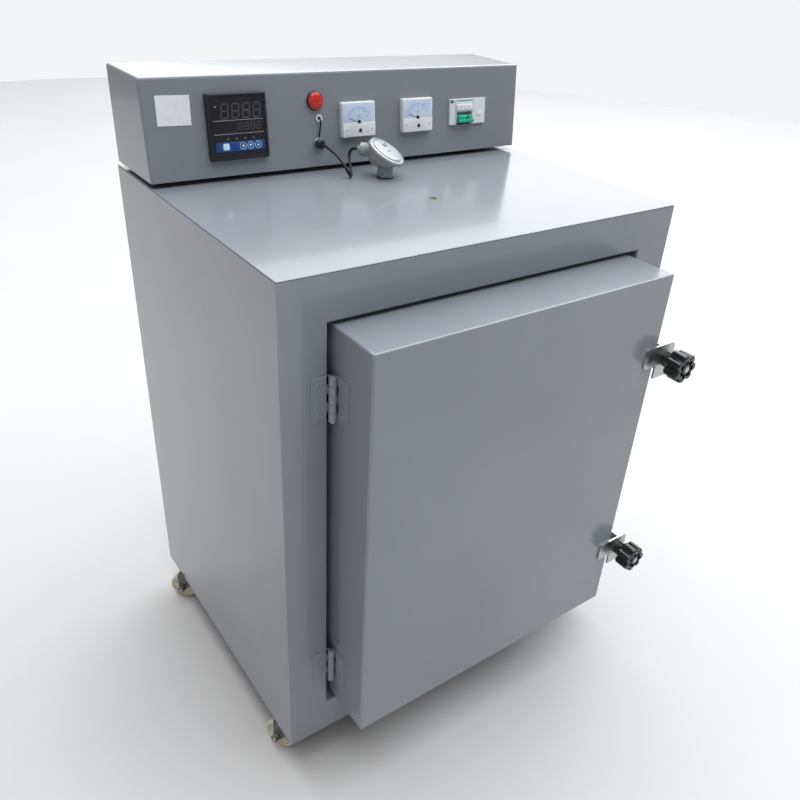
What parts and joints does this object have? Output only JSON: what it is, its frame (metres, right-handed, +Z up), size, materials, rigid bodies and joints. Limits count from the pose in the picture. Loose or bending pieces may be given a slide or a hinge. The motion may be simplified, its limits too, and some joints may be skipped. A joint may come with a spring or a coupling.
{
  "type": "electric pottery kiln",
  "caption": "Front-loading electric chamber kiln on swivel casters, with a thick hinged door, hand-screw clamps and a control box on its top.",
  "frame": {"origin": "centre of the bounding box's base, on the floor under the casters", "axes": "+Z up; -Y is the door side; +X is to the right as one faces the door"},
  "size_m": [0.742, 0.684, 1.052],
  "materials": {
    "enamel": "glossy light grey enamel",
    "base_steel": "dark grey sheet",
    "firebrick": "matt light firebrick",
    "heating_wire": "dull oxidised alloy wire",
    "zinc_steel": "zinc plated",
    "knob_plastic": "glossy black moulding",
    "caster_steel": "dark zinc",
    "caster_nylon": "cream nylon",
    "fibre_rope": "white ceramic fibre rope",
    "black_plastic": "black moulding",
    "red_lens": "clear red lens",
    "white_plastic": "white moulding",
    "green_plastic": "green moulding",
    "cable_jacket": "black jacket",
    "cast_aluminium": "grey-green painted casting",
    "ceramic": "unglazed ceramic"
  },
  "bodies": {
    "cabinet": {"left_side_panel": "enamel", "right_side_panel": "enamel", "back_panel": "enamel", "top_panel": "enamel", "front_frame": "enamel", "throat_frame": "base_steel", "base_frame": "base_steel", "lining_left": "firebrick", "lining_right": "firebrick", "lining_back": "firebrick", "lining_floor": "firebrick", "lining_roof": "firebrick", "heating_element_left": "heating_wire", "heating_element_right": "heating_wire", "hinge_upper_cabinet_leaf": "enamel", "hinge_upper_pin": "zinc_steel", "hinge_lower_cabinet_leaf": "enamel", "hinge_lower_pin": "zinc_steel", "clamp_upper_bracket": "zinc_steel", "clamp_lower_bracket": "zinc_steel", "control_box": "enamel", "control_box_base": "enamel", "temperature_controller": "black_plastic", "pilot_lamp": "black_plastic", "pilot_lamp_lens": "red_lens", "lead_bushing": "white_plastic", "indicator_lead": "cable_jacket", "cable_gland": "black_plastic", "left_panel_meter": "white_plastic", "right_panel_meter": "white_plastic", "circuit_breaker": "white_plastic", "thermocouple_head": "cast_aluminium", "thermocouple_lid": "cast_aluminium", "thermocouple_sheath": "ceramic", "head_gland": "zinc_steel", "thermocouple_cable": "cable_jacket"},
    "door": {"door_shell": "enamel", "door_lining": "firebrick", "door_seal": "fibre_rope", "hinge_upper_door_leaf": "enamel", "hinge_lower_door_leaf": "enamel", "clamp_upper_lug": "zinc_steel", "clamp_lower_lug": "zinc_steel"},
    "upper_clamp_screw": {"clamp_upper_stud": "zinc_steel", "clamp_upper_knob": "knob_plastic"},
    "lower_clamp_screw": {"clamp_lower_stud": "zinc_steel", "clamp_lower_knob": "knob_plastic"},
    "toggle": {"breaker_toggle": "green_plastic"},
    "front_left_fork": {"front_left_caster_fork": "caster_steel"},
    "front_left_wheel": {"front_left_caster_wheel": "caster_nylon"},
    "front_right_fork": {"front_right_caster_fork": "caster_steel"},
    "front_right_wheel": {"front_right_caster_wheel": "caster_nylon"},
    "rear_left_fork": {"rear_left_caster_fork": "caster_steel"},
    "rear_left_wheel": {"rear_left_caster_wheel": "caster_nylon"},
    "rear_right_fork": {"rear_right_caster_fork": "caster_steel"},
    "rear_right_wheel": {"rear_right_caster_wheel": "caster_nylon"}
  },
  "joints": [
    {"name": "door_hinge", "type": "hinge", "parent": "cabinet", "child": "door", "pos_m": [-0.2835, -0.2145, 0.4725], "axis": [0, 0, -1], "range_deg": [0, 90]},
    {"name": "upper_clamp_turn", "type": "hinge", "parent": "door", "child": "upper_clamp_screw", "pos_m": [0.297, -0.3, 0.676], "axis": [0, -1, 0], "continuous": true},
    {"name": "lower_clamp_turn", "type": "hinge", "parent": "door", "child": "lower_clamp_screw", "pos_m": [0.297, -0.3, 0.269], "axis": [0, -1, 0], "continuous": true},
    {"name": "breaker_switch", "type": "hinge", "parent": "cabinet", "child": "toggle", "pos_m": [0.2275, 0.19221, 0.96567], "axis": [-1, 0, 0], "range_deg": [0, 45]},
    {"name": "front_left_swivel", "type": "hinge", "parent": "cabinet", "child": "front_left_fork", "pos_m": [-0.3315, -0.164, 0.05], "axis": [0, 0, 1], "continuous": true},
    {"name": "front_left_roll", "type": "hinge", "parent": "front_left_fork", "child": "front_left_wheel", "pos_m": [-0.34045, -0.1439, 0.028], "axis": [-0.9135, -0.4067, 0], "continuous": true},
    {"name": "front_right_swivel", "type": "hinge", "parent": "cabinet", "child": "front_right_fork", "pos_m": [0.3315, -0.164, 0.05], "axis": [0, 0, 1], "continuous": true},
    {"name": "front_right_roll", "type": "hinge", "parent": "front_right_fork", "child": "front_right_wheel", "pos_m": [0.34045, -0.1439, 0.028], "axis": [-0.9135, 0.4067, 0], "continuous": true},
    {"name": "rear_left_swivel", "type": "hinge", "parent": "cabinet", "child": "rear_left_fork", "pos_m": [-0.3315, 0.272, 0.05], "axis": [0, 0, 1], "continuous": true},
    {"name": "rear_left_roll", "type": "hinge", "parent": "rear_left_fork", "child": "rear_left_wheel", "pos_m": [-0.34622, 0.28835, 0.028], "axis": [-0.7431, -0.6691, 0], "continuous": true},
    {"name": "rear_right_swivel", "type": "hinge", "parent": "cabinet", "child": "rear_right_fork", "pos_m": [0.3315, 0.272, 0.05], "axis": [0, 0, 1], "continuous": true},
    {"name": "rear_right_roll", "type": "hinge", "parent": "rear_right_fork", "child": "rear_right_wheel", "pos_m": [0.34622, 0.28835, 0.028], "axis": [-0.7431, 0.6691, 0], "continuous": true}
  ]
}
